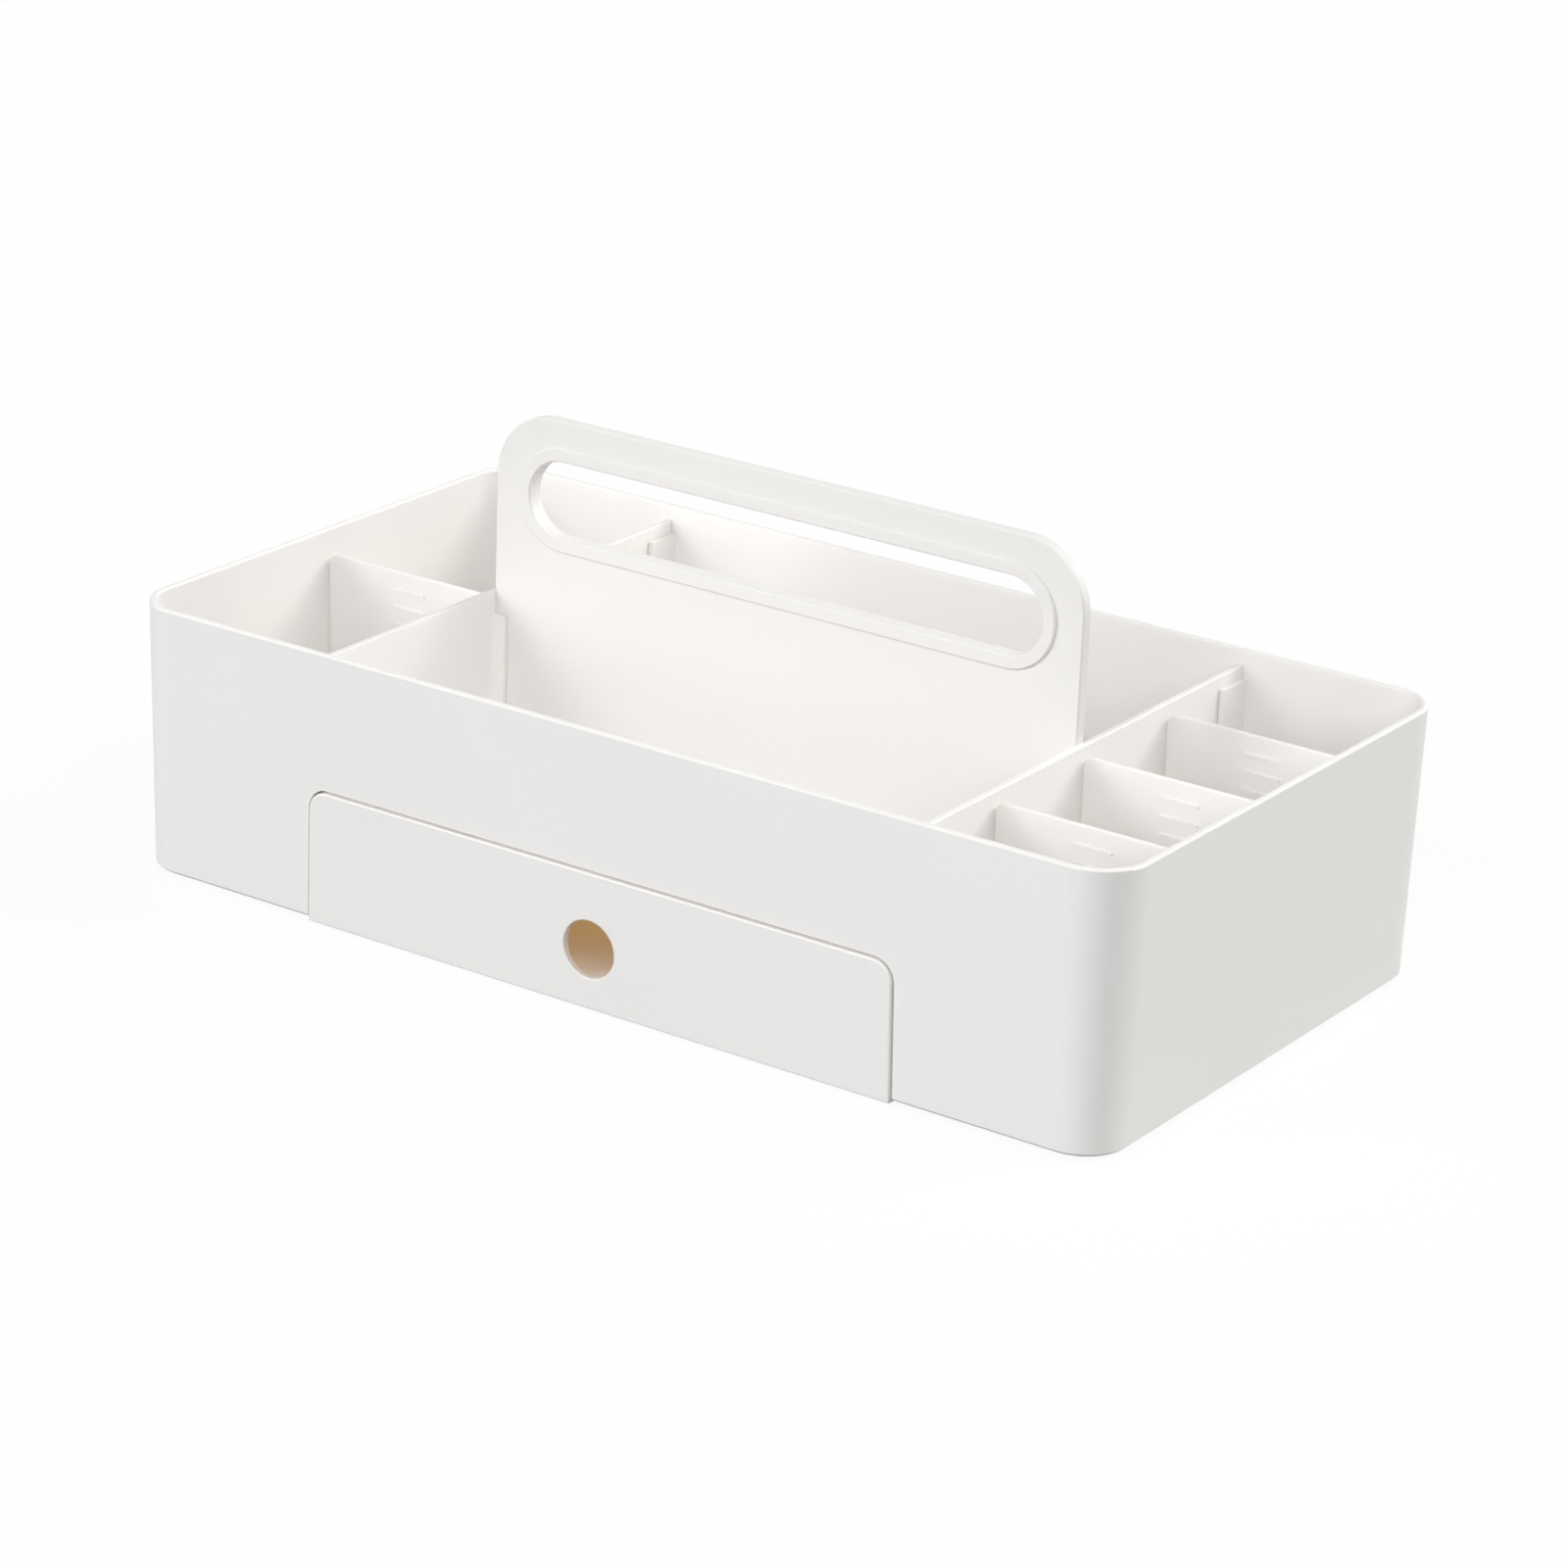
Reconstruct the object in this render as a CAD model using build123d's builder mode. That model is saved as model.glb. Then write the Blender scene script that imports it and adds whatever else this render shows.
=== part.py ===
from build123d import *
from math import atan, degrees, sqrt
import os

# Desk caddy: an open moulded tub with a drawer, a carrying handle and lift-out dividers.
# Millimetres. +X runs along the long side, +Y towards the back, +Z up. The origin is the
# centre of the footprint, on the surface that the foot pads stand on.

# Tub: outside size at the rim, with walls that lean in towards the base
tub_length = 350.0
tub_width = 186.4
tub_height = 85.6
wall = 2.3
wall_lean = 1.7
tub_corner_radius = 16.0
rim_round = 0.8
base_chamfer = 0.9
skirt_height = 2.7
floor_thickness = 2.3

# Foot pads under the floor
foot_lift = 1.2
pad_radius = 6.0
pad_inset_x = 20.0
pad_inset_y = 20.0
pad_socket_wall = 1.5
pad_socket_height = 1.4

# Drawer opening in the front wall, wider at the base
opening_height = 42.5
opening_half_top = 104.65
opening_half_base = 105.5
opening_corner_radius = 7.0

# Deck and cross walls of the centre frame
cross_wall_x = 106.0
cross_wall_thickness = 2.3
cross_wall_drop = 4.8
deck_top_height = 44.4
deck_thickness = 2.0
cross_top_round = 0.6
stop_bead_height = 1.2
stop_bead_width = 1.3

# Guides that hold the cross walls on the front and back walls
guide_thickness = 1.7
guide_depth = 12.0
guide_drop = 4.3

# Handle plate with a raised lip round the grip hole
handle_height = 140.0
handle_half_width = 105.5
handle_thickness = 3.9
handle_corner_radius = 21.0
handle_edge_chamfer = 0.5
grip_length = 184.4
grip_height = 24.4
grip_centre_height = 115.1
lip_width = 4.3
lip_proud = 1.0
lip_chamfer = 0.45
handle_groove_depth = 0.8
handle_guide_depth = 4.6
handle_guide_thickness = 1.5
handle_guide_drop = 7.2

# Dividers that lift out of the side compartments
divider_thickness = 1.8
divider_drop = 7.9
divider_spacing = 47.2
divider_guide_depth = 1.6
divider_guide_thickness = 1.3
divider_guide_height = 38.0
divider_corner_radius = 3.0
divider_edge_chamfer = 0.45
grip_rib_count = 3
grip_rib_length = 12.5
grip_rib_height = 1.1
grip_rib_proud = 0.5
grip_rib_pitch = 5.6
grip_rib_drop = 6.2

# Drawer: front panel and tray in one moulding
panel_gap = 0.7
panel_thickness = 2.6
panel_proud = 0.8
panel_drop = 0.7
panel_edge_round = 0.6
finger_hole_radius = 9.0
finger_hole_height = 18.0
finger_hole_round = 0.4
tray_wall = 1.8
tray_floor = 1.8
tray_corner_radius = 8.0
tray_back_gap = 2.8
tray_top_gap = 1.9
tray_side_gap = 0.5
catch_y = 40.0
catch_length = 8.0
catch_height = 1.4

# Runners under and beside the drawer
runner_width = 2.0
runner_height = 0.8
runner_spacing = 70.0
runner_end_gap = 5.0
side_rail_height = 1.6
side_rail_level = 22.0
ledge_length = 20.0
ledge_height = 3.0
ledge_depth = 2.0
ledge_spacing = 104.0

# Snap feet of the cross walls and of the handle plate
snap_length = 14.0
snap_hook = 1.0
snap_hook_height = 1.2
frame_snap_y = 55.0
handle_snap_spacing = 60.0
handle_snap_count = 3

# Clearances
slide_clearance = 0.3
seat_clearance = 0.2
stop_clearance = 0.5

# Levels above the standing surface
base_z = foot_lift
rim_z = base_z + tub_height
floor_under_z = base_z + skirt_height
floor_z = floor_under_z + floor_thickness
opening_z = base_z + opening_height
deck_z = base_z + deck_top_height
deck_under_z = deck_z - deck_thickness
cross_top_z = rim_z - cross_wall_drop
guide_top_z = cross_top_z - guide_drop
divider_top_z = rim_z - divider_drop
divider_guide_top_z = floor_z + divider_guide_height
runner_z = floor_z + runner_height
tray_z = runner_z + slide_clearance
tray_top_z = deck_under_z - tray_top_gap
panel_base_z = base_z - panel_drop
panel_top_z = opening_z - panel_gap

# Places that several pieces share
wall_angle = degrees(atan(wall_lean / tub_height))
cross_inner_x = cross_wall_x - cross_wall_thickness / 2
cross_outer_x = cross_wall_x + cross_wall_thickness / 2
front_cut_y = -(tub_width / 2 - wall - wall_lean)
tray_back_y = -front_cut_y - tray_back_gap
bead_back_y = front_cut_y + stop_bead_width
drawer_travel = catch_y - catch_length / 2 - bead_back_y - stop_clearance
sides = (-1, 1)


def lean(z):
    """How far a tub wall has leaned in at height z, measured from its place at the rim."""
    return wall_lean * (rim_z - z) / tub_height


def inner_half_length(z):
    """Half the distance between the inside faces of the two end walls at height z."""
    return tub_length / 2 - wall - lean(z)


def inner_half_width(z):
    """Half the distance between the inside faces of the front and back walls at height z."""
    return tub_width / 2 - wall - lean(z)


def front_outer_y(z):
    """The outside face of the front wall at height z."""
    return -(tub_width / 2 - lean(z))


def opening_half(z):
    """Half the width of the drawer opening at height z."""
    share = (z - base_z) / opening_height
    return opening_half_base + (opening_half_top - opening_half_base) * share


def opening_clear_half(z):
    """Half the width that is clear at height z inside the opening's rounded corners."""
    above_straight = max(opening_corner_radius - (opening_z - z), 0)
    corner_reach = sqrt(opening_corner_radius**2 - above_straight**2)
    return opening_half_top - opening_corner_radius + corner_reach


def guide_outline(side, inner_half, depth, low_z, high_z):
    """Corners of a guide rib that is rooted in a leaning wall and straight on its free edge."""
    root = wall / 2
    free = inner_half(low_z) - depth
    return [
        (side * free, low_z),
        (side * (inner_half(low_z) + root), low_z),
        (side * (inner_half(high_z) + root), high_z),
        (side * free, high_z),
    ]


tray_half_width = min(opening_clear_half(tray_top_z), cross_inner_x) - tray_side_gap
divider_rib_gap = divider_thickness / 2 + slide_clearance + divider_guide_thickness / 2

# Tub
with BuildPart() as tub:
    with BuildSketch(Plane.XY.offset(rim_z)):
        RectangleRounded(tub_length, tub_width, tub_corner_radius)
    extrude(amount=-tub_height, taper=wall_angle)
    chamfer(tub.faces().sort_by(Axis.Z)[0].edges(), base_chamfer)

    # The hollow above the floor and the shallow one under it
    with BuildSketch(Plane.XY.offset(rim_z)):
        RectangleRounded(2 * inner_half_length(rim_z), 2 * inner_half_width(rim_z), tub_corner_radius - wall)
    extrude(amount=floor_z - rim_z, taper=wall_angle, mode=Mode.SUBTRACT)
    fillet(tub.faces().sort_by(Axis.Z)[-1].edges(), rim_round)
    with BuildSketch(Plane.XY.offset(floor_under_z)):
        RectangleRounded(
            2 * inner_half_length(floor_under_z),
            2 * inner_half_width(floor_under_z),
            tub_corner_radius - wall - lean(floor_under_z),
        )
    extrude(amount=-skirt_height, taper=wall_angle, mode=Mode.SUBTRACT)

    # Drawer opening through the front wall, open at the base
    with BuildSketch(Plane.XZ.offset(-front_cut_y)) as opening:
        with BuildLine():
            Polyline(
                (-opening_half(0), 0),
                (-opening_half_top, opening_z),
                (opening_half_top, opening_z),
                (opening_half(0), 0),
                close=True,
            )
        make_face()
        fillet(opening.vertices().group_by(Axis.Y)[-1], opening_corner_radius)
    extrude(amount=tub_width / 2, mode=Mode.SUBTRACT)

    # Guide ribs beside each cross wall; the inner ones start above the deck
    for x_side in sides:
        for rib_side in sides:
            rib_gap = cross_wall_thickness / 2 + seat_clearance + guide_thickness / 2
            rib_x = x_side * cross_wall_x + rib_side * rib_gap
            faces_drawer = rib_side != x_side
            low_z = deck_z + slide_clearance if faces_drawer else floor_z
            with BuildSketch(Plane.YZ.offset(rib_x)):
                for y_side in sides:
                    rib_outline = guide_outline(y_side, inner_half_width, guide_depth, low_z, guide_top_z)
                    Polygon(*rib_outline, align=None)
            extrude(amount=guide_thickness / 2, both=True)

    # Guide ribs in front of and behind each divider, on the end walls
    for x_side, divider_ys in ((-1, (0,)), (1, (-divider_spacing, 0, divider_spacing))):
        for divider_y in divider_ys:
            for rib_side in sides:
                rib_outline = guide_outline(
                    x_side, inner_half_length, divider_guide_depth, floor_z, divider_guide_top_z
                )
                with BuildSketch(Plane.XZ.offset(-(divider_y + rib_side * divider_rib_gap))):
                    Polygon(*rib_outline, align=None)
                extrude(amount=divider_guide_thickness / 2, both=True)

    # Runners that the tray slides on, and ledges that carry the back of the deck
    with BuildSketch(Plane.XY.offset(floor_z)):
        with GridLocations(runner_spacing, 0, 3, 1):
            Rectangle(runner_width, 2 * (-front_cut_y - runner_end_gap))
    extrude(amount=runner_height)
    ledge_outline = guide_outline(1, inner_half_width, ledge_depth, deck_under_z - ledge_height, deck_under_z)
    for ledge_x in (-ledge_spacing / 2, ledge_spacing / 2):
        with BuildSketch(Plane.YZ.offset(ledge_x)):
            Polygon(*ledge_outline, align=None)
        extrude(amount=ledge_length / 2, both=True)

    # Slots in the floor for the snap feet of the cross walls
    with BuildSketch(Plane.XY.offset(floor_under_z)):
        with GridLocations(2 * cross_wall_x, 2 * frame_snap_y, 2, 2):
            Rectangle(cross_wall_thickness + 2 * seat_clearance, snap_length + 2 * seat_clearance)
    extrude(amount=floor_thickness, mode=Mode.SUBTRACT)

    # Ring sockets for the foot pads
    with BuildSketch(Plane.XY.offset(floor_under_z)):
        with GridLocations(tub_length - 2 * pad_inset_x, tub_width - 2 * pad_inset_y, 2, 2):
            Circle(pad_radius + seat_clearance + pad_socket_wall)
            Circle(pad_radius + seat_clearance, mode=Mode.SUBTRACT)
    extrude(amount=-pad_socket_height)
tub.part.label = "tub"
export_step(tub.part, "parts/tub.step")

# Centre frame: deck over the drawer, with a cross wall at each end
with BuildPart() as centre_frame:
    for x_side in sides:
        with BuildSketch(Plane.YZ.offset(x_side * cross_wall_x)):
            with BuildLine():
                Polyline(
                    (slide_clearance - inner_half_width(floor_z), floor_z),
                    (slide_clearance - inner_half_width(cross_top_z), cross_top_z),
                    (inner_half_width(cross_top_z) - slide_clearance, cross_top_z),
                    (inner_half_width(floor_z) - slide_clearance, floor_z),
                    close=True,
                )
            make_face()
        extrude(amount=cross_wall_thickness / 2, both=True)
    fillet(centre_frame.faces().group_by(Axis.Z)[-1].edges().filter_by(Axis.Y), cross_top_round)
    with BuildSketch(Plane.XY.offset(deck_under_z)):
        Rectangle(2 * cross_wall_x, 2 * (inner_half_width(deck_under_z) - slide_clearance))
    extrude(amount=deck_thickness)

    # Bead under the deck's front edge, which stops the drawer's catches
    with BuildSketch(Plane.XY.offset(deck_under_z)):
        with Locations((0, (front_cut_y + bead_back_y) / 2)):
            Rectangle(2 * cross_inner_x, stop_bead_width)
    extrude(amount=-stop_bead_height)

    # Rails that centre the tray between the cross walls
    rail_proud = cross_inner_x - tray_half_width - slide_clearance
    with BuildSketch(Plane.XY.offset(base_z + side_rail_level)):
        with GridLocations(2 * cross_inner_x - rail_proud, 0, 2, 1):
            Rectangle(rail_proud, 2 * (-front_cut_y - runner_end_gap))
    extrude(amount=side_rail_height)

    # Grooves and guide ribs that take the handle plate's edges
    rib_step = handle_thickness / 2 + seat_clearance + handle_guide_thickness / 2
    with BuildSketch(Plane.XY.offset(deck_z)):
        with GridLocations(2 * cross_inner_x - handle_guide_depth, 2 * rib_step, 2, 2):
            Rectangle(handle_guide_depth, handle_guide_thickness)
    extrude(amount=cross_top_z - handle_guide_drop - deck_z)
    with BuildSketch(Plane.XY.offset(deck_z)):
        with GridLocations(2 * cross_inner_x, 0, 2, 1):
            Rectangle(2 * handle_groove_depth, handle_thickness + 2 * seat_clearance)
    extrude(amount=cross_top_z - deck_z, mode=Mode.SUBTRACT)

    # Guide ribs for the dividers on the outside of each cross wall
    with BuildSketch(Plane.XY.offset(floor_z)):
        for x_side, rows in ((-1, 1), (1, 3)):
            rib_x = x_side * (cross_outer_x + divider_guide_depth / 2)
            with Locations((rib_x, 0)):
                with GridLocations(0, divider_spacing, 1, rows):
                    with GridLocations(0, 2 * divider_rib_gap, 1, 2):
                        Rectangle(divider_guide_depth, divider_guide_thickness)
    extrude(amount=divider_guide_top_z - floor_z)

    # Slots in the deck for the handle's snap feet
    with BuildSketch(Plane.XY.offset(deck_under_z)):
        with GridLocations(handle_snap_spacing, 0, handle_snap_count, 1):
            Rectangle(snap_length + 2 * seat_clearance, handle_thickness + 2 * seat_clearance)
    extrude(amount=deck_thickness, mode=Mode.SUBTRACT)

    # Snap feet through the tub floor, with hooks that point away from the drawer
    foot_low_z = floor_under_z - seat_clearance - snap_hook_height
    for x_side in sides:
        with BuildSketch(Plane.XZ) as foot:
            with BuildLine():
                Polyline(
                    (x_side * cross_inner_x, floor_z),
                    (x_side * cross_inner_x, foot_low_z),
                    (x_side * cross_outer_x, foot_low_z),
                    (x_side * (cross_outer_x + snap_hook), floor_under_z - seat_clearance),
                    (x_side * cross_outer_x, floor_under_z - seat_clearance),
                    (x_side * cross_outer_x, floor_z),
                    close=True,
                )
            make_face()
        for foot_y in (-frame_snap_y, frame_snap_y):
            extrude(foot.sketch.moved(Location((0, foot_y, 0))), amount=snap_length / 2, dir=(0, 1, 0), both=True)
centre_frame.part.label = "centre_frame"
export_step(centre_frame.part, "parts/centre_frame.step")

# Handle plate
with BuildPart() as handle_plate:
    with BuildSketch(Plane.XZ) as plate:
        with Locations((0, (deck_z + base_z + handle_height) / 2)):
            Rectangle(2 * handle_half_width, base_z + handle_height - deck_z)
        fillet(plate.vertices().group_by(Axis.Y)[-1], handle_corner_radius)
    extrude(amount=handle_thickness / 2, both=True)
    above_frame = handle_plate.edges().filter_by_position(Axis.Z, deck_z, base_z + handle_height)
    outline = above_frame.filter_by_position(Axis.Y, -handle_thickness / 2, handle_thickness / 2)
    chamfer(outline.filter_by(GeomType.CIRCLE) + outline.group_by(Axis.Z)[-1].filter_by(Axis.X), handle_edge_chamfer)

    # Grip hole with its raised lip on both faces
    with BuildSketch(Plane.XZ):
        with Locations((0, base_z + grip_centre_height)):
            SlotOverall(grip_length + 2 * lip_width, grip_height + 2 * lip_width)
    extrude(amount=handle_thickness / 2 + lip_proud, both=True)
    with BuildSketch(Plane.XZ):
        with Locations((0, base_z + grip_centre_height)):
            SlotOverall(grip_length, grip_height)
    extrude(amount=handle_thickness, both=True, mode=Mode.SUBTRACT)
    lip_faces = handle_plate.faces().group_by(Axis.Y)
    chamfer(lip_faces[0].edges() + lip_faces[-1].edges(), lip_chamfer)

    # Snap feet through the deck, hooked at the front
    with BuildSketch(Plane.YZ) as hook:
        with BuildLine():
            Polyline(
                (handle_thickness / 2, deck_z),
                (handle_thickness / 2, deck_under_z - seat_clearance - snap_hook_height / 2),
                (-handle_thickness / 2, deck_under_z - seat_clearance - snap_hook_height / 2),
                (-handle_thickness / 2 - snap_hook, deck_under_z - seat_clearance),
                (-handle_thickness / 2, deck_under_z - seat_clearance),
                (-handle_thickness / 2, deck_z),
                close=True,
            )
        make_face()
    for place in GridLocations(handle_snap_spacing, 0, handle_snap_count, 1):
        extrude(hook.sketch.moved(place), amount=snap_length / 2, dir=(1, 0, 0), both=True)
handle_plate.part.label = "handle_plate"
export_step(handle_plate.part, "parts/handle_plate.step")

# Drawer
with BuildPart() as drawer:
    # Front panel, parallel to the leaning front wall and a little proud of it
    with BuildSketch(Plane.XZ.offset(-front_cut_y)) as panel:
        with BuildLine():
            Polyline(
                (panel_gap - opening_half(panel_base_z), panel_base_z),
                (panel_gap - opening_half(panel_top_z), panel_top_z),
                (opening_half(panel_top_z) - panel_gap, panel_top_z),
                (opening_half(panel_base_z) - panel_gap, panel_base_z),
                close=True,
            )
        make_face()
        fillet(panel.vertices().group_by(Axis.Y)[-1], opening_corner_radius - panel_gap)
    extrude(amount=tub_width / 2)
    with BuildSketch(Plane.YZ) as panel_side:
        with BuildLine():
            Polyline(
                (front_outer_y(panel_base_z) - panel_proud, panel_base_z),
                (front_outer_y(panel_top_z) - panel_proud, panel_top_z),
                (front_outer_y(panel_top_z) - panel_proud + panel_thickness, panel_top_z),
                (front_outer_y(panel_base_z) - panel_proud + panel_thickness, panel_base_z),
                close=True,
            )
        make_face()
    extrude(amount=tub_length / 2, both=True, mode=Mode.INTERSECT)
    fillet(drawer.faces().sort_by(Axis.Y)[0].edges(), panel_edge_round)

    # Tray behind the panel
    tray_front_y = front_outer_y(tray_z) - panel_proud + panel_thickness / 2
    with BuildSketch(Plane.XY.offset(tray_z)) as tray_outline:
        with Locations((0, (tray_front_y + tray_back_y) / 2)):
            Rectangle(2 * tray_half_width, tray_back_y - tray_front_y)
        fillet(tray_outline.vertices().group_by(Axis.Y)[-1], tray_corner_radius)
    extrude(amount=tray_top_z - tray_z)
    hollow_front_y = front_outer_y(tray_top_z) - panel_proud + panel_thickness
    with BuildSketch(Plane.XY.offset(tray_z + tray_floor)) as tray_hollow:
        with Locations((0, (hollow_front_y + tray_back_y - tray_wall) / 2)):
            Rectangle(2 * (tray_half_width - tray_wall), tray_back_y - tray_wall - hollow_front_y)
        fillet(tray_hollow.vertices().group_by(Axis.Y)[-1], tray_corner_radius - tray_wall)
    extrude(amount=tray_top_z - tray_z, mode=Mode.SUBTRACT)

    # Catches on the side walls, ramped at the back so that the drawer can be fitted
    with BuildSketch(Plane.YZ.offset(tray_half_width - tray_wall)) as catch:
        with BuildLine():
            Polyline(
                (catch_y - catch_length / 2, tray_top_z),
                (catch_y - catch_length / 2, tray_top_z + catch_height),
                (catch_y, tray_top_z + catch_height),
                (catch_y + catch_length / 2, tray_top_z),
                close=True,
            )
        make_face()
    extrude(amount=tray_wall)
    with BuildSketch(Plane.YZ.offset(-tray_half_width)):
        add(catch.sketch_local)
    extrude(amount=tray_wall)

    # Finger hole
    with BuildSketch(Plane.XZ):
        with Locations((0, base_z + finger_hole_height)):
            Circle(finger_hole_radius)
    extrude(amount=tub_width, mode=Mode.SUBTRACT)
    hole_z = base_z + finger_hole_height
    hole_edges = drawer.edges().filter_by_position(Axis.Z, hole_z - panel_gap, hole_z + panel_gap)
    fillet(hole_edges.filter_by(GeomType.LINE, reverse=True).sort_by(Axis.Y)[0], finger_hole_round)
drawer.part.label = "drawer"
export_step(drawer.part, "parts/drawer.step")

# Dividers, each with grip ribs on its front face
divider_places = {
    "left_divider": (-1, 0),
    "front_divider": (1, -divider_spacing),
    "middle_divider": (1, 0),
    "rear_divider": (1, divider_spacing),
}
for divider_name, (x_side, divider_y) in divider_places.items():
    inner_x = cross_outer_x + slide_clearance
    with BuildPart() as divider:
        with BuildSketch(Plane.XZ.offset(-divider_y)) as face:
            with BuildLine():
                Polyline(
                    (x_side * inner_x, floor_z + slide_clearance),
                    (x_side * inner_x, divider_top_z),
                    (x_side * (inner_half_length(divider_top_z) - slide_clearance), divider_top_z),
                    (x_side * (inner_half_length(floor_z) - slide_clearance), floor_z + slide_clearance),
                    close=True,
                )
            make_face()
            fillet(face.vertices().group_by(Axis.Y)[-1], divider_corner_radius)
        extrude(amount=divider_thickness / 2, both=True)
        top_edges = divider.edges().filter_by_position(Axis.Z, divider_top_z - divider_corner_radius, rim_z)
        chamfer(top_edges.filter_by(Axis.Y, reverse=True), divider_edge_chamfer)
        rib_x = x_side * (inner_x + inner_half_length(divider_top_z)) / 2
        with BuildSketch(Plane.XZ.offset(divider_thickness / 2 - divider_y)):
            for rib in range(grip_rib_count):
                with Locations((rib_x, divider_top_z - grip_rib_drop - rib * grip_rib_pitch)):
                    SlotOverall(grip_rib_length, grip_rib_height)
        extrude(amount=grip_rib_proud)
    divider.part.label = divider_name
    export_step(divider.part, f"parts/{divider_name}.step")

# Foot pads
with BuildPart() as foot_pads:
    with BuildSketch(Plane.XY):
        with GridLocations(tub_length - 2 * pad_inset_x, tub_width - 2 * pad_inset_y, 2, 2):
            Circle(pad_radius)
    extrude(amount=floor_under_z)
foot_pads.part.label = "foot_pads"
export_step(foot_pads.part, "parts/foot_pads.step")

print(f"drawer travel {drawer_travel:.1f} mm")
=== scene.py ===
"""Looks of a moulded desk caddy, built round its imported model.

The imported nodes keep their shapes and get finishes. The script adds the ejector-pin marks, the
studio and the camera. All lengths are in metres.
"""

import logging
import math
from abc import ABC, abstractmethod
from collections.abc import Iterable
from dataclasses import dataclass, field
from enum import Enum

import bmesh
import bpy
from mathutils import Matrix, Vector


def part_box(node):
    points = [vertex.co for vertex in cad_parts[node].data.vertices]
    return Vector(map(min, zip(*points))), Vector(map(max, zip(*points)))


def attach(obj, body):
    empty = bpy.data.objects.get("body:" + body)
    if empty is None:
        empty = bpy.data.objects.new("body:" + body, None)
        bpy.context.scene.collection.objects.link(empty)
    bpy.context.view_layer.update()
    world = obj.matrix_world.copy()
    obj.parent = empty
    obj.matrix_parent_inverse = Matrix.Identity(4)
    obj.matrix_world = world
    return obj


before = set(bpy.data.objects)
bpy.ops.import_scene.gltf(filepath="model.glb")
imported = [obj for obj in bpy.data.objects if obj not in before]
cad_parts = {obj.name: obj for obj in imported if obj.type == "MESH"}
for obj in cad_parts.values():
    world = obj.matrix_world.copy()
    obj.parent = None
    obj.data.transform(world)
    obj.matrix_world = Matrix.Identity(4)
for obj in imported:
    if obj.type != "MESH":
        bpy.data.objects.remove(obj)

log = logging.getLogger("caddy")
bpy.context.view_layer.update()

Colour = tuple[float, float, float]
Point = tuple[float, float, float]
Span = tuple[float, float]

WHITE: Colour = (1.0, 1.0, 1.0)
DARK: Colour = (0.0, 0.0, 0.0)
COOL_LIGHT: Colour = (0.987, 0.997, 1.0)
WARM_LIGHT: Colour = (1.0, 0.988, 0.955)
NOISE_SPAN: Span = (0.3, 0.7)


class Slot(Enum):
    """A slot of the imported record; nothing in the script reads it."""

    PLASTIC = "caddy_plastic"


class Body(Enum):
    """Bodies that pieces ride on."""

    CADDY = "caddy"
    DRAWER = "drawer_body"


class Ray(Enum):
    """Outputs of the Light Path node that stand for a kind of ray."""

    CAMERA = "Is Camera Ray"
    GLOSSY = "Is Glossy Ray"
    TRANSMISSION = "Is Transmission Ray"


def linked(thing: bpy.types.Object) -> bpy.types.Object:
    """Adds an object to the scene and returns it."""
    bpy.context.scene.collection.objects.link(thing)
    return thing


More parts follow.
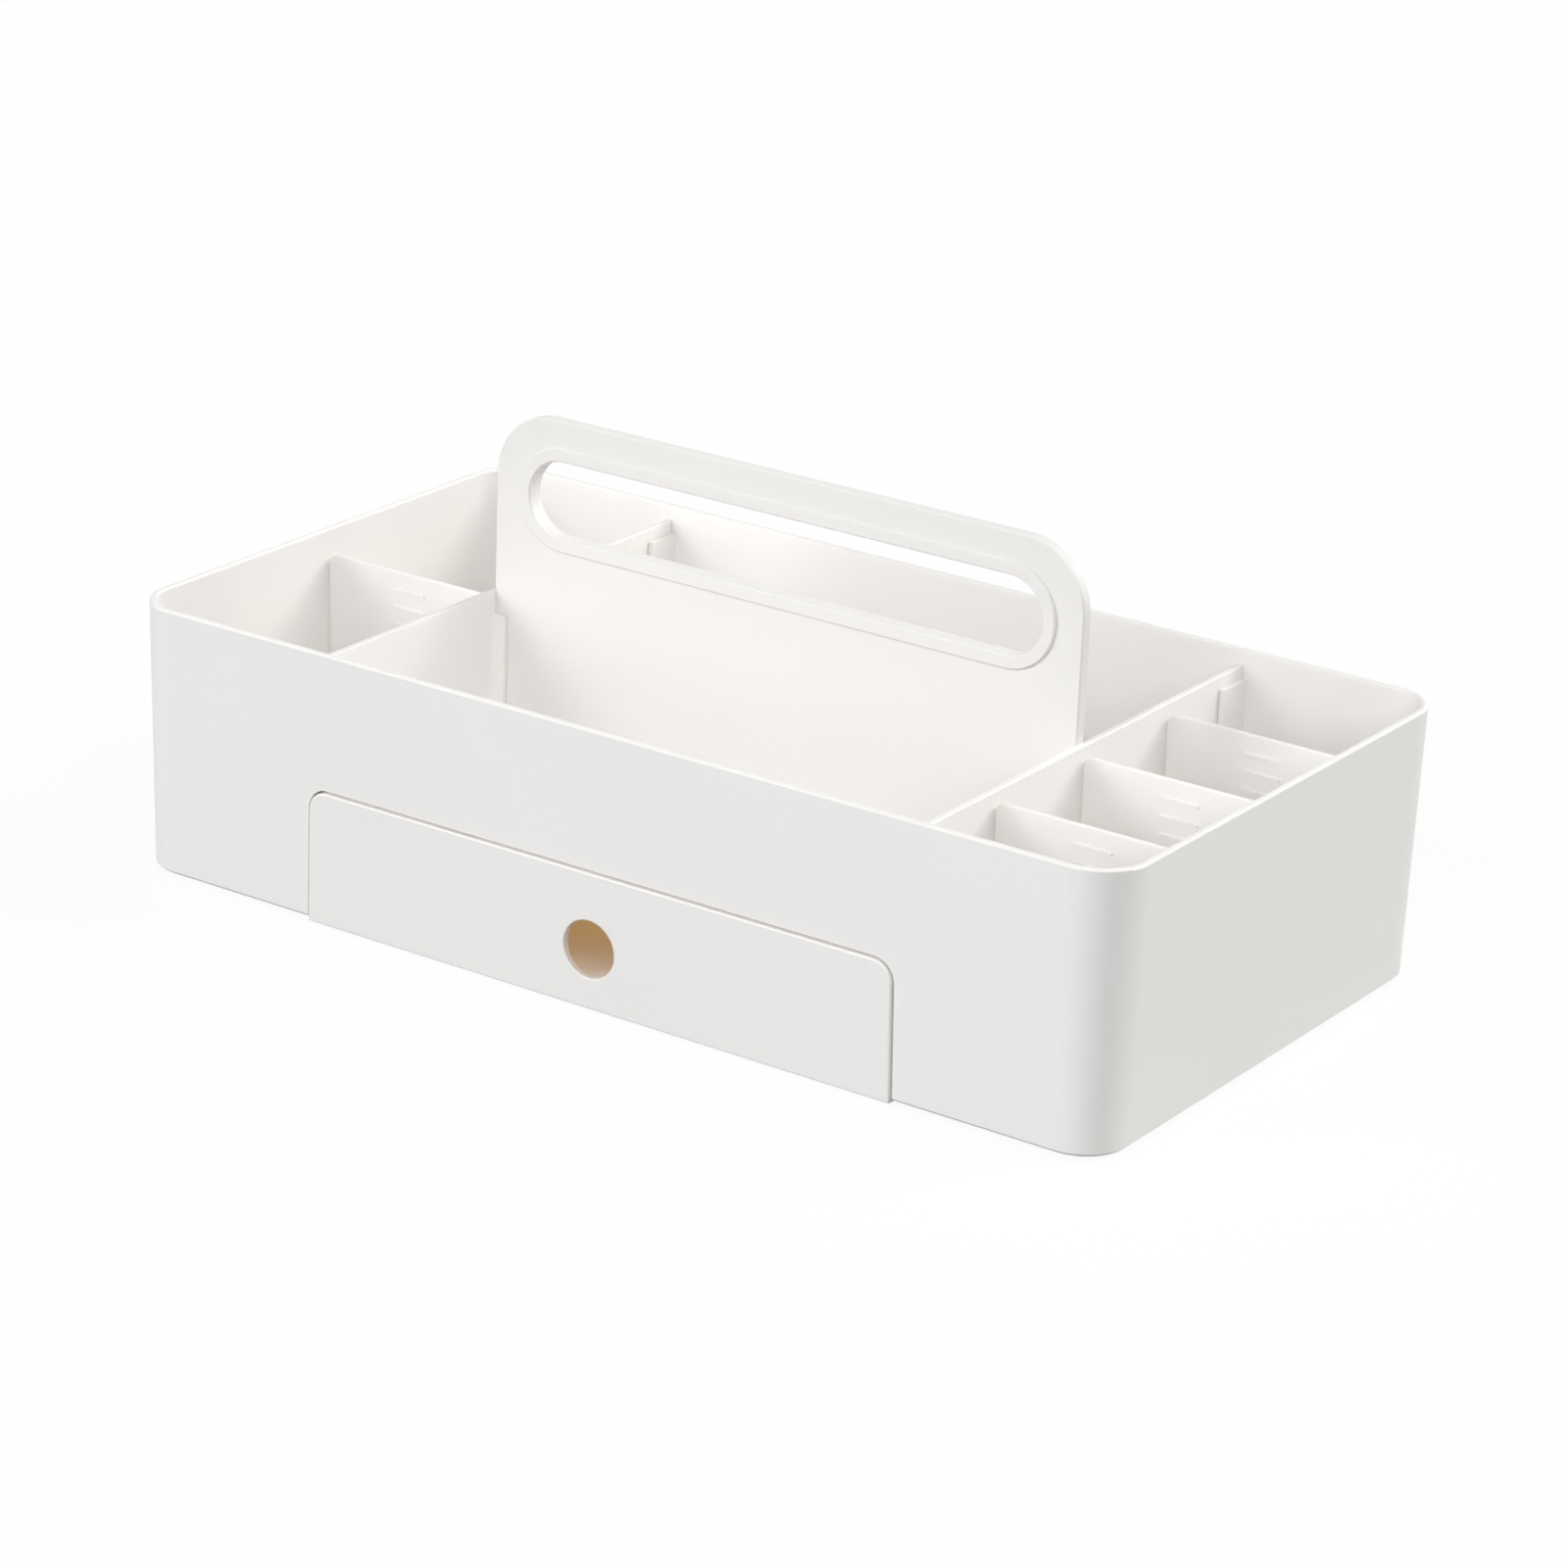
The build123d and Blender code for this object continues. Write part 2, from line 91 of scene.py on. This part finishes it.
class Shader:
    """A material's or the world's node tree, with short calls that add and join nodes."""

    def __init__(self, tree: bpy.types.NodeTree) -> None:
        """Empties the tree.

        Args:
            tree: The node tree to fill.
        """
        self.tree = tree
        tree.nodes.clear()

    def add(self, kind: str, **settings: object) -> bpy.types.Node:
        """Adds a node and sets its properties.

        Args:
            kind: The node's type, such as ShaderNodeMix.
            settings: Properties of the node by name.

        Returns:
            The new node.
        """
        node = self.tree.nodes.new(kind)
        for name, value in settings.items():
            setattr(node, name, value)
        return node

    def join(self, source: bpy.types.NodeSocket, target: bpy.types.NodeSocket) -> None:
        """Links an output to an input."""
        self.tree.links.new(source, target)

    def noise(
        self, place: bpy.types.NodeSocket, scale: float, detail: float, rough: float = 0.5
    ) -> bpy.types.NodeSocket:
        """Adds a noise texture that reads a place.

        Args:
            place: The coordinates to read.
            scale: Repeats per metre.
            detail: Octaves of finer noise.
            rough: Strength of each finer octave.

        Returns:
            The noise's factor.
        """
        node = self.add("ShaderNodeTexNoise")
        node.inputs["Scale"].default_value = scale
        node.inputs["Detail"].default_value = detail
        node.inputs["Roughness"].default_value = rough
        self.join(place, node.inputs["Vector"])
        return node.outputs["Fac"]

    def spread(
        self, source: bpy.types.NodeSocket, low: float, high: float
    ) -> bpy.types.NodeSocket:
        """Maps a noise's usual range to the range from low to high.

        Args:
            source: The noise's factor.
            low: Result at the noise's usual lowest value.
            high: Result at the noise's usual highest value.

        Returns:
            The mapped value.
        """
        node = self.add("ShaderNodeMapRange", clamp=True)
        names = ("From Min", "From Max", "To Min", "To Max")
        for name, value in zip(names, (*NOISE_SPAN, low, high)):
            node.inputs[name].default_value = value
        self.join(source, node.inputs["Value"])
        return node.outputs["Result"]

    def tint(
        self, factor: bpy.types.NodeSocket, first: Colour, second: Colour
    ) -> bpy.types.NodeSocket:
        """Mixes two colours by a factor.

        Args:
            factor: Where the second colour shows.
            first: Colour at factor 0.
            second: Colour at factor 1.

        Returns:
            The mixed colour.
        """
        node = self.add("ShaderNodeMix", data_type="RGBA")
        sockets = {socket.identifier: socket for socket in node.inputs}
        sockets["A_Color"].default_value = (*first, 1.0)
        sockets["B_Color"].default_value = (*second, 1.0)
        self.join(factor, sockets["Factor_Float"])
        return next(socket for socket in node.outputs if socket.identifier == "Result_Color")

    def bump(
        self, height: bpy.types.NodeSocket, depth: float, normal: bpy.types.NodeSocket | None = None
    ) -> bpy.types.NodeSocket:
        """Adds a bump node.

        Args:
            height: Relief from 0 to 1.
            depth: The relief's real depth in metres.
            normal: Bump to add this one to.

        Returns:
            The bumped normal.
        """
        node = self.add("ShaderNodeBump")
        node.inputs["Strength"].default_value = 1.0
        node.inputs["Distance"].default_value = depth
        self.join(height, node.inputs["Height"])
        if normal is not None:
            self.join(normal, node.inputs["Normal"])
        return node.outputs["Normal"]


class Finish(ABC):
    """A finish that can be made into one Blender material. Its index is that of refraction."""

    name: str
    index: float

    def material(self) -> bpy.types.Material:
        """Builds the material.

        Returns:
            The finished material.
        """
        material = bpy.data.materials.new(self.name)
        material.use_nodes = True
        shader = Shader(material.node_tree)
        place = shader.add("ShaderNodeTexCoord").outputs["Object"]
        surface = shader.add("ShaderNodeBsdfPrincipled")
        surface.inputs["IOR"].default_value = self.index
        self.paint(shader, place, surface)
        out = shader.add("ShaderNodeOutputMaterial")
        shader.join(surface.outputs["BSDF"], out.inputs["Surface"])
        return material

    @abstractmethod
    def paint(self, shader: Shader, place: bpy.types.NodeSocket, surface: bpy.types.Node) -> None:
        """Joins colour, roughness and relief to the surface.

        Args:
            shader: The material's tree.
            place: Object coordinates.
            surface: The Principled node to dress.
        """


@dataclass(frozen=True)
class MouldedPlastic(Finish):
    """Warm white satin polypropylene with a fine spark-eroded grain and a faint flow mottling."""

    name: str = "caddy_plastic_satin"
    index: float = 1.49
    light: Colour = (0.898, 0.882, 0.866)
    dark: Colour = (0.878, 0.862, 0.846)
    mottle_scale: float = 9.0
    mottle_detail: float = 4.0
    mottle_rough: float = 0.55
    roughness: Span = (0.36, 0.46)
    sheen_scale: float = 125.0
    sheen_detail: float = 3.0
    wave_scale: float = 16.0
    wave_detail: float = 1.0
    wave_depth: float = 0.00022
    grain_scale: float = 1500.0
    grain_detail: float = 2.0
    grain_depth: float = 0.000012

    def paint(self, shader: Shader, place: bpy.types.NodeSocket, surface: bpy.types.Node) -> None:
        """Joins the mottled white, the sheen's spread, the moulded wave and the grain.

        Args:
            shader: The material's tree.
            place: Object coordinates.
            surface: The Principled node to dress.
        """
        mottle = shader.noise(place, self.mottle_scale, self.mottle_detail, self.mottle_rough)
        colour = shader.tint(shader.spread(mottle, 0.0, 1.0), self.light, self.dark)
        shader.join(colour, surface.inputs["Base Color"])
        sheen = shader.noise(place, self.sheen_scale, self.sheen_detail)
        shader.join(shader.spread(sheen, *self.roughness), surface.inputs["Roughness"])
        wave = shader.noise(place, self.wave_scale, self.wave_detail)
        waved = shader.bump(wave, self.wave_depth)
        grain = shader.noise(place, self.grain_scale, self.grain_detail)
        shader.join(shader.bump(grain, self.grain_depth, waved), surface.inputs["Normal"])


@dataclass(frozen=True)
class PlatePlasticPaintedShade(MouldedPlastic):
    """The handle plate's plastic: the caddy's same white with painted shade. This darker copy holds
    the plate, which light bounced off the deck brightens, down to the tub's level.
    """

    name: str = "handle_plastic_painted_shade"
    # painted shade: the plate's white is set some 8 percent darker than the tub's
    light: Colour = (0.830, 0.815, 0.801)
    dark: Colour = (0.810, 0.795, 0.781)


@dataclass(frozen=True)
class PadRubber(Finish):
    """Grey thermoplastic rubber of the foot pads."""

    name: str = "foot_pad_rubber"
    index: float = 1.5
    light: Colour = (0.46, 0.45, 0.43)
    dark: Colour = (0.38, 0.37, 0.355)
    roughness: Span = (0.7, 0.85)
    grain_scale: float = 2600.0
    grain_detail: float = 3.0
    grain_depth: float = 0.00002

    def paint(self, shader: Shader, place: bpy.types.NodeSocket, surface: bpy.types.Node) -> None:
        """Joins the speckled grey and the fine matt grain.

        Args:
            shader: The material's tree.
            place: Object coordinates.
            surface: The Principled node to dress.
        """
        grain = shader.noise(place, self.grain_scale, self.grain_detail)
        colour = shader.tint(shader.spread(grain, 0.0, 1.0), self.light, self.dark)
        shader.join(colour, surface.inputs["Base Color"])
        shader.join(shader.spread(grain, *self.roughness), surface.inputs["Roughness"])
        shader.join(shader.bump(grain, self.grain_depth), surface.inputs["Normal"])


@dataclass
class Finishes:
    """The caddy's materials, made once and shared by its pieces."""

    plastic: bpy.types.Material = field(default_factory=lambda: MouldedPlastic().material())
    # the handle plate gets a copy of the white plastic darkened as painted shade
    plate_plastic_painted_shade: bpy.types.Material = field(default_factory=lambda: PlatePlasticPaintedShade().material())
    rubber: bpy.types.Material = field(default_factory=lambda: PadRubber().material())


@dataclass(frozen=True)
class PinMark:
    """The round mark that an ejector pin leaves: a low ring round a flat, dished face.

    It stands proud of the moulding and is seated a little way into it. The ring's outer edge is
    bevelled by edge, and the face inside lies dish below the ring.
    """

    radius: float = 0.004
    proud: float = 0.00025
    seat: float = 0.0001
    ring: float = 0.0005
    dish: float = 0.0002
    edge: float = 0.00008
    sides: int = 48

    def stamp(self, mesh: bmesh.types.BMesh, spots: Iterable[Point]) -> None:
        """Adds a mark at each place.

        Args:
            mesh: The mesh that gets the marks.
            spots: Middles of the marks, on an upper face of the moulding.
        """
        for spot in spots:
            made = bmesh.ops.create_circle(
                mesh, cap_ends=True, segments=self.sides, radius=self.radius
            )
            foot = made["verts"][0].link_faces[0]
            grown = bmesh.ops.extrude_face_region(mesh, geom=[foot], use_keep_orig=True)
            top = next(item for item in grown["geom"] if isinstance(item, bmesh.types.BMFace))
            bmesh.ops.translate(mesh, verts=top.verts, vec=(0.0, 0.0, self.proud + self.seat))
            outer = list(top.edges)
            bmesh.ops.inset_individual(mesh, faces=[top], thickness=self.ring, depth=0.0)
            bmesh.ops.translate(mesh, verts=top.verts, vec=(0.0, 0.0, -self.dish))
            bmesh.ops.bevel(
                mesh,
                geom=outer,
                offset=self.edge,
                affect="EDGES",
                segments=1,
                profile=0.5,
                material=-1,
            )
            base = Vector(spot) - Vector((0.0, 0.0, self.seat))
            bmesh.ops.translate(mesh, verts=self.island(foot), vec=base)

    @staticmethod
    def island(face: bmesh.types.BMFace) -> list[bmesh.types.BMVert]:
        """Collects the corners of everything that joins on to a face.

        Args:
            face: A face of the mark.

        Returns:
            Its corners and all corners linked to them.
        """
        found, queue = set(face.verts), list(face.verts)
        while queue:
            for edge in queue.pop().link_edges:
                for vert in edge.verts:
                    if vert not in found:
                        found.add(vert)
                        queue.append(vert)
        return list(found)


@dataclass
class Moulding:
    """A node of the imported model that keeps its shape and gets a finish."""

    node: str
    body: str = Body.CADDY.value

    def dress(self, material: bpy.types.Material) -> None:
        """Puts a material on every slot of the node.

        Args:
            material: The finish.
        """
        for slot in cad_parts[self.node].material_slots:
            slot.material = material
        log.info("%s wears %s", self.node, material.name)

    def piece(
        self, name: str, mesh: bmesh.types.BMesh, material: bpy.types.Material
    ) -> bpy.types.Object:
        """Makes an object of a finished mesh, which rides with this moulding.

        Args:
            name: The piece's name.
            mesh: Its shape in the frame's place.
            material: Its finish.

        Returns:
            The new object.
        """
        bmesh.ops.recalc_face_normals(mesh, faces=mesh.faces)
        data = bpy.data.meshes.new(name)
        mesh.to_mesh(data)
        mesh.free()
        data.materials.append(material)
        thing = linked(bpy.data.objects.new(name, data))
        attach(thing, self.body)
        log.info("%s built with %d faces", name, len(data.polygons))
        return thing


@dataclass
class Tub(Moulding):
    """The outer moulding with its leaning walls, compartment floors and low skirt."""

    node: str = "tub"
    floor_top: float = 0.0062
    mark_rows: tuple[float, ...] = (-0.071, -0.0236, 0.0236, 0.071)
    mark_column: float = 0.139
    mark: PinMark = PinMark()

    def marks(self, material: bpy.types.Material) -> bpy.types.Object:
        """Stamps a pin mark on the floor of each compartment.

        Args:
            material: The plastic's material.

        Returns:
            The piece with all the marks.
        """
        mesh = bmesh.new()
        right = [(self.mark_column, row, self.floor_top) for row in self.mark_rows]
        left = [(-self.mark_column, row, self.floor_top) for row in self.mark_rows]
        self.mark.stamp(mesh, right + left)
        return self.piece("tub_pin_marks", mesh, material)

    def build(self, finishes: Finishes) -> None:
        """Dresses the moulding and adds its marks.

        Args:
            finishes: The caddy's materials.
        """
        self.dress(finishes.plastic)
        self.marks(finishes.plastic)


@dataclass
class CentreFrame(Moulding):
    """The deck over the drawer with a cross wall at each end."""

    node: str = "centre_frame"

    def build(self, finishes: Finishes) -> None:
        """Dresses the moulding."""
        self.dress(finishes.plastic)


@dataclass
class HandlePlate(Moulding):
    """The upright plate with the lipped grip hole."""

    node: str = "handle_plate"

    def build(self, finishes: Finishes) -> None:
        """Dresses the moulding."""
        # painted shade: the plate wears the darkened copy of the white plastic
        self.dress(finishes.plate_plastic_painted_shade)


@dataclass
class Drawer(Moulding):
    """The sliding drawer: front panel with its finger hole, and the tray behind it."""

    node: str = "drawer"
    body: str = Body.DRAWER.value
    tray_floor: float = 0.0091
    mark_column: float = 0.074
    mark_row: float = 0.052
    mark: PinMark = PinMark()

    def marks(self, material: bpy.types.Material) -> bpy.types.Object:
        """Stamps pin marks on the tray's floor.

        Args:
            material: The plastic's material.

        Returns:
            The piece with all the marks.
        """
        low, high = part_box(self.node)
        middle = (low.y + high.y) / 2
        columns = (-self.mark_column, 0.0, self.mark_column)
        rows = (middle - self.mark_row, middle + self.mark_row)
        spots = [(x, y, self.tray_floor) for x in columns for y in rows]
        mesh = bmesh.new()
        self.mark.stamp(mesh, spots)
        return self.piece("drawer_pin_marks", mesh, material)

    def build(self, finishes: Finishes) -> None:
        """Dresses the moulding and adds its marks.

        Args:
            finishes: The caddy's materials.
        """
        self.dress(finishes.plastic)
        self.marks(finishes.plastic)


@dataclass
class Divider(Moulding):
    """A lift-out divider with grip ribs near the top of its front face."""

    def build(self, finishes: Finishes) -> None:
        """Dresses the moulding."""
        self.dress(finishes.plastic)


@dataclass
class FootPads(Moulding):
    """The four soft pads in their sockets under the floor."""

    node: str = "foot_pads"

    def build(self, finishes: Finishes) -> None:
        """Dresses the pads in rubber."""
        self.dress(finishes.rubber)


@dataclass(frozen=True)
class SoftLamp:
    """A large, far soft box, so wide that its shadows have soft edges.

    Its azimuth runs from +X towards +Y. Its width is the angle that it fills, and all three angles
    are in degrees. At level 1 a white card that faces the lamp looks white.
    """

    name: str
    azimuth: float
    elevation: float
    width: float
    level: float
    colour: Colour = COOL_LIGHT

    def hang(self) -> bpy.types.Object:
        """Makes the lamp and turns it to the caddy.

        Returns:
            The lamp's object.
        """
        light = bpy.data.lights.new(self.name, "SUN")
        light.angle = math.radians(self.width)
        light.color = self.colour
        light.energy = self.level * math.pi
        lamp = bpy.data.objects.new(self.name, light)
        around, up = math.radians(self.azimuth), math.radians(self.elevation)
        flat = math.cos(up)
        towards = Vector((math.cos(around) * flat, math.sin(around) * flat, math.sin(up)))
        lamp.rotation_euler = towards.to_track_quat("Z", "Y").to_euler()
        return linked(lamp)


@dataclass(frozen=True)
class DeckGlow:
    """The warm light that the thin deck lets through into the closed drawer.

    It colours what shows through the finger hole, and hangs behind the place of the fully open
    tray's back wall, which keeps its light out of that tray. A white card right under the lamp
    looks pi times its level, where 1 is white.
    """

    name: str = "deck_glow"
    width: float = 0.150
    depth: float = 0.100
    inset: float = 0.060
    drop: float = 0.0006
    level: float = 0.155
    colour: Colour = (1.0, 0.61, 0.24)

    def hang(self) -> bpy.types.Object:
        """Makes the lamp, just under the deck, shining down into the tray.

        Returns:
            The lamp's object.
        """
        low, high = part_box("drawer")
        light = bpy.data.lights.new(self.name, "AREA")
        light.shape = "RECTANGLE"
        light.size, light.size_y = self.width, self.depth
        light.color = self.colour
        light.energy = self.level * math.pi**2 * self.width * self.depth
        lamp = bpy.data.objects.new(self.name, light)
        middle = low.y + self.inset + self.depth / 2
        lamp.location = ((low.x + high.x) / 2, middle, high.z - self.drop)
        lamp.visible_camera = False
        return linked(lamp)


@dataclass
class Studio:
    """Pale floor, white background and soft lamps all round.

    The floor lights the caddy with floor_colour. Where it is seen, floor_white is its share of
    white, and the rest is paper of floor_paper, which takes the shadow.
    """

    floor_side: float = 14.0
    floor_drop: float = 0.00008
    floor_colour: Colour = (0.25, 0.25, 0.25)
    floor_paper: Colour = (0.95, 0.95, 0.95)
    floor_white: float = 0.925
    bounces: int = 12
    lamps: tuple[SoftLamp, ...] = (
        SoftLamp("key_lamp", 236.0, 28.0, 22.0, 0.255),
        SoftLamp("side_lamp", 46.0, 30.0, 22.0, 0.28, WARM_LIGHT),
        SoftLamp("side_high", 45.0, 50.0, 40.0, 0.35, WARM_LIGHT),
        SoftLamp("side_low", 45.0, 8.0, 40.0, 0.10),
        SoftLamp("right_fill", 15.0, 36.0, 40.0, 0.055),
        SoftLamp("front_fill", 314.0, 36.0, 40.0, 0.39),
        SoftLamp("front_soft", 268.0, 22.0, 40.0, 0.185),
        SoftLamp("left_low", 225.0, 8.0, 40.0, 0.36),
        SoftLamp("left_high", 225.0, 58.0, 40.0, 0.045),
        SoftLamp("back_low", 90.0, 8.0, 40.0, 0.175),
    )

    def white_rays(self, shader: Shader) -> bpy.types.NodeSocket:
        """A value of 1 for the rays that see the white background and 0 for all others.

        Args:
            shader: The tree that gets the nodes.

        Returns:
            The value's socket.
        """
        path = shader.add("ShaderNodeLightPath")
        total = path.outputs[Ray.CAMERA.value]
        for ray in (Ray.GLOSSY, Ray.TRANSMISSION):
            either = shader.add("ShaderNodeMath", operation="MAXIMUM")
            shader.join(total, either.inputs[0])
            shader.join(path.outputs[ray.value], either.inputs[1])
            total = either.outputs[0]
        return total

    def light_world(self) -> None:
        """Makes the world white where it is seen, with no light of its own."""
        world = bpy.data.worlds.new("studio_surround")
        world.use_nodes = True
        bpy.context.scene.world = world
        shader = Shader(world.node_tree)
        mix = shader.add("ShaderNodeMixShader")
        shader.join(self.white_rays(shader), mix.inputs["Fac"])
        for colour, socket in ((DARK, mix.inputs[1]), (WHITE, mix.inputs[2])):
            background = shader.add("ShaderNodeBackground")
            background.inputs["Color"].default_value = (*colour, 1.0)
            shader.join(background.outputs[0], socket)
        shader.join(mix.outputs[0], shader.add("ShaderNodeOutputWorld").inputs["Surface"])

    def floor_material(self) -> bpy.types.Material:
        """A matt pale floor that looks nearly white and keeps the caddy's shadow.

        Returns:
            The finished material.
        """
        material = bpy.data.materials.new("studio_floor")
        material.use_nodes = True
        shader = Shader(material.node_tree)
        matt, paper = shader.add("ShaderNodeBsdfDiffuse"), shader.add("ShaderNodeBsdfDiffuse")
        matt.inputs["Color"].default_value = (*self.floor_colour, 1.0)
        paper.inputs["Color"].default_value = (*self.floor_paper, 1.0)
        seen, mix = shader.add("ShaderNodeMixShader"), shader.add("ShaderNodeMixShader")
        seen.inputs["Fac"].default_value = self.floor_white
        shader.join(paper.outputs[0], seen.inputs[1])
        shader.join(shader.add("ShaderNodeEmission").outputs[0], seen.inputs[2])
        shader.join(self.white_rays(shader), mix.inputs["Fac"])
        shader.join(matt.outputs[0], mix.inputs[1])
        shader.join(seen.outputs[0], mix.inputs[2])
        shader.join(mix.outputs[0], shader.add("ShaderNodeOutputMaterial").inputs["Surface"])
        return material

    def lay_floor(self) -> bpy.types.Object:
        """Lays the floor.

        Returns:
            The floor's object.
        """
        sheet = bmesh.new()
        bmesh.ops.create_grid(sheet, x_segments=1, y_segments=1, size=self.floor_side / 2)
        bmesh.ops.translate(sheet, verts=sheet.verts, vec=(0.0, 0.0, -self.floor_drop))
        mesh = bpy.data.meshes.new("studio_floor")
        sheet.to_mesh(mesh)
        sheet.free()
        mesh.materials.append(self.floor_material())
        floor = linked(bpy.data.objects.new("studio_floor", mesh))
        return floor

    def build(self) -> None:
        """Lays the floor, hangs the lamps and lets light bounce inside the compartments."""
        self.lay_floor()
        self.light_world()
        for lamp in self.lamps:
            lamp.hang()
        DeckGlow().hang()
        cycles = bpy.context.scene.cycles
        cycles.max_bounces = cycles.diffuse_bounces = self.bounces
        log.info("studio has %d lamps", len(self.lamps))


@dataclass
class PhotoCamera:
    """The camera, placed and turned as the photograph's was, with its angles in degrees."""

    place: Point = (0.82034, -1.21817, 0.60271)
    azimuth: float = 33.843
    tilt: float = 69.157
    roll: float = 2.337
    lens: float = 119.88
    sensor: float = 36.0
    near: float = 0.05

    def build(self) -> bpy.types.Object:
        """Makes the scene's camera.

        Returns:
            The camera's object.
        """
        data = bpy.data.cameras.new("photo_camera")
        data.lens = self.lens
        data.sensor_width = self.sensor
        data.sensor_fit = "HORIZONTAL"
        data.clip_start = self.near
        camera = linked(bpy.data.objects.new("photo_camera", data))
        turn = Matrix.Identity(3)
        for axis, angle in (("Z", self.azimuth), ("X", self.tilt), ("Z", self.roll)):
            turn = turn @ Matrix.Rotation(math.radians(angle), 3, axis)
        camera.matrix_world = Matrix.Translation(self.place) @ turn.to_4x4()
        bpy.context.scene.camera = camera
        return camera


@dataclass
class Caddy:
    """The whole caddy, sub-assembly by sub-assembly."""

    tub: Tub = field(default_factory=Tub)
    centre_frame: CentreFrame = field(default_factory=CentreFrame)
    handle_plate: HandlePlate = field(default_factory=HandlePlate)
    drawer: Drawer = field(default_factory=Drawer)
    dividers: tuple[Divider, ...] = tuple(
        Divider(f"{place}_divider", f"{place}_divider_body")
        for place in ("left", "front", "middle", "rear")
    )
    foot_pads: FootPads = field(default_factory=FootPads)

    def build(self, finishes: Finishes) -> None:
        """Builds and dresses every sub-assembly.

        Args:
            finishes: The caddy's materials.
        """
        fixed = (self.tub, self.centre_frame, self.handle_plate, self.drawer, self.foot_pads)
        for part in (*fixed, *self.dividers):
            part.build(finishes)
            log.info("%s is done", part.node)


def main() -> None:
    """Builds the camera, the studio and the caddy's looks."""
    bpy.context.scene.view_settings.view_transform = "Standard"
    PhotoCamera().build()
    Studio().build()
    Caddy().build(Finishes())


if __name__ == "__main__":
    logging.basicConfig(level=logging.INFO, format="%(name)s: %(message)s")
    main()
